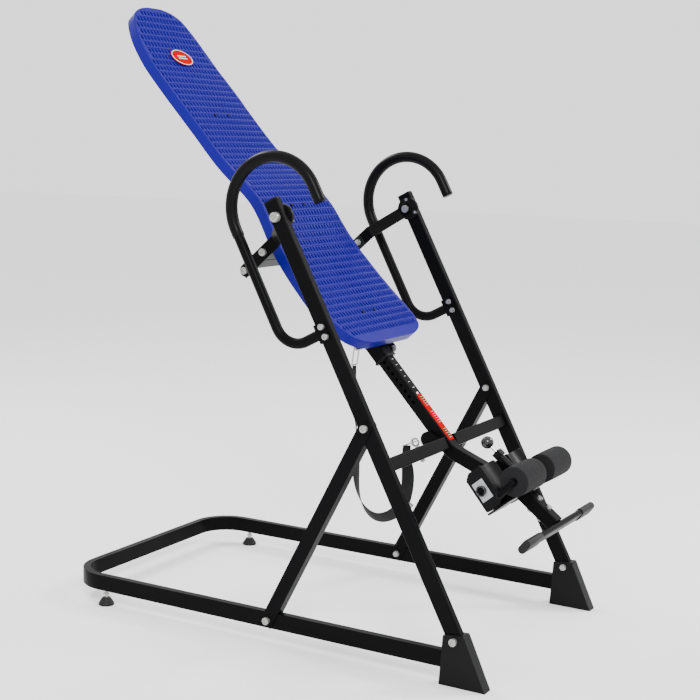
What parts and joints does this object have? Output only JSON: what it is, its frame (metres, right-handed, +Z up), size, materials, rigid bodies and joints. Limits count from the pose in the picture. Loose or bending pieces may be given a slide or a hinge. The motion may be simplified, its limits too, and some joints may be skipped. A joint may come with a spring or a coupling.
{
  "type": "inversion table",
  "caption": "Inversion table with a perforated tilting bed, hooked handles, an adjustable boom and ankle rollers.",
  "frame": {"origin": "on the floor, under the middle of the table's box, measured without the tether strap", "axes": "+Z up, +Y from the ankle end to the head end, +X to the right of a person who faces along +Y"},
  "size_m": [0.715, 1.2556, 1.5572],
  "materials": {
    "black_paint": "gloss",
    "grey_paint": "satin",
    "zinc_steel": "satin",
    "black_plastic": "matte",
    "blue_plastic": "satin",
    "red_label": "gloss",
    "grey_plate": "satin",
    "black_foam": "matte",
    "black_rubber": "matte",
    "webbing": "matte"
  },
  "bodies": {
    "frame": {"base_frame": "black_paint", "upright_left": "black_paint", "upright_right": "black_paint", "upright_caps": "black_plastic", "foot_shoe_left": "black_plastic", "foot_shoe_right": "black_plastic", "foot_bolts": "zinc_steel", "strut_left": "black_paint", "strut_right": "black_paint", "strut_bolts": "zinc_steel", "crossbar": "black_paint", "crossbar_bumper": "black_rubber", "strap_eye_bolt": "zinc_steel", "handle_left": "black_paint", "handle_right": "black_paint", "handle_grip_left": "black_foam", "handle_grip_right": "black_foam", "handle_brackets": "black_paint", "handle_bolts": "zinc_steel", "bearing_housings": "black_plastic", "housing_screws": "zinc_steel", "tether_strap": "webbing", "strap_buckle": "zinc_steel"},
    "leveller_left": {"leveller_foot_left": "black_rubber", "leveller_stud_left": "zinc_steel"},
    "leveller_right": {"leveller_foot_right": "black_rubber", "leveller_stud_right": "zinc_steel"},
    "bed": {"pivot_arm_left": "black_paint", "pivot_arm_right": "black_paint", "pivot_pins": "zinc_steel", "arm_bolts": "zinc_steel", "bed_cross_tube": "grey_paint", "bed_spine": "black_paint", "spine_bushing": "black_plastic", "backrest_shell": "blue_plastic", "backrest_brackets": "black_paint", "backrest_screws": "zinc_steel", "oval_badge": "red_label", "strap_clip": "zinc_steel", "height_pin_housing": "black_plastic"},
    "height_pull_pin": {"height_pin": "zinc_steel", "height_pin_knob": "black_plastic"},
    "boom": {"boom_tube": "black_paint", "boom_label": "red_label", "cup_cross_tube": "black_paint", "ankle_cup_left": "black_plastic", "ankle_cup_right": "black_plastic", "cup_end_plates": "grey_plate", "heel_plates": "black_paint", "footrest_bar": "black_paint", "footrest_grips": "black_rubber", "footrest_bolts": "zinc_steel", "arm_sleeve": "black_paint", "ankle_pin_housing": "black_plastic"},
    "ankle_pull_pin": {"ankle_pin": "zinc_steel", "ankle_pin_knob": "black_plastic"},
    "roller_carriage": {"roller_arm": "black_paint", "roller_axle": "black_paint"},
    "roller_left": {"foam_roller_left": "black_foam"},
    "roller_right": {"foam_roller_right": "black_foam"}
  },
  "joints": [
    {"name": "bed_tilt", "type": "hinge", "parent": "frame", "child": "bed", "pos_m": [0, -0.02045, 1.032], "axis": [-1, 0, 0], "range_deg": [0, 85]},
    {"name": "height_pin_pull", "type": "slide", "parent": "bed", "child": "height_pull_pin", "axis": [1, 0, 0], "range_m": [0, 0.008]},
    {"name": "boom_slide", "type": "slide", "parent": "bed", "child": "boom", "axis": [0, 0.6794, 0.7337], "range_m": [-0.018, 0.036]},
    {"name": "roller_carriage_slide", "type": "slide", "parent": "boom", "child": "roller_carriage", "axis": [0, -0.6252, 0.7804], "range_m": [-0.012, 0.012]},
    {"name": "ankle_pin_pull", "type": "slide", "parent": "boom", "child": "ankle_pull_pin", "axis": [0, 0.7804, 0.6252], "range_m": [0, 0.012]},
    {"name": "roller_left_spin", "type": "hinge", "parent": "roller_carriage", "child": "roller_left", "pos_m": [-0.082, -0.55295, 0.4354], "axis": [1, 0, 0], "continuous": true},
    {"name": "roller_right_spin", "type": "hinge", "parent": "roller_carriage", "child": "roller_right", "pos_m": [0.082, -0.55295, 0.4354], "axis": [1, 0, 0], "continuous": true},
    {"name": "leveller_left_turn", "type": "hinge", "parent": "frame", "child": "leveller_left", "pos_m": [-0.334, 0.49555, 0.03], "axis": [0, 0, 1], "continuous": true},
    {"name": "leveller_right_turn", "type": "hinge", "parent": "frame", "child": "leveller_right", "pos_m": [0.334, 0.49555, 0.03], "axis": [0, 0, 1], "continuous": true}
  ]
}
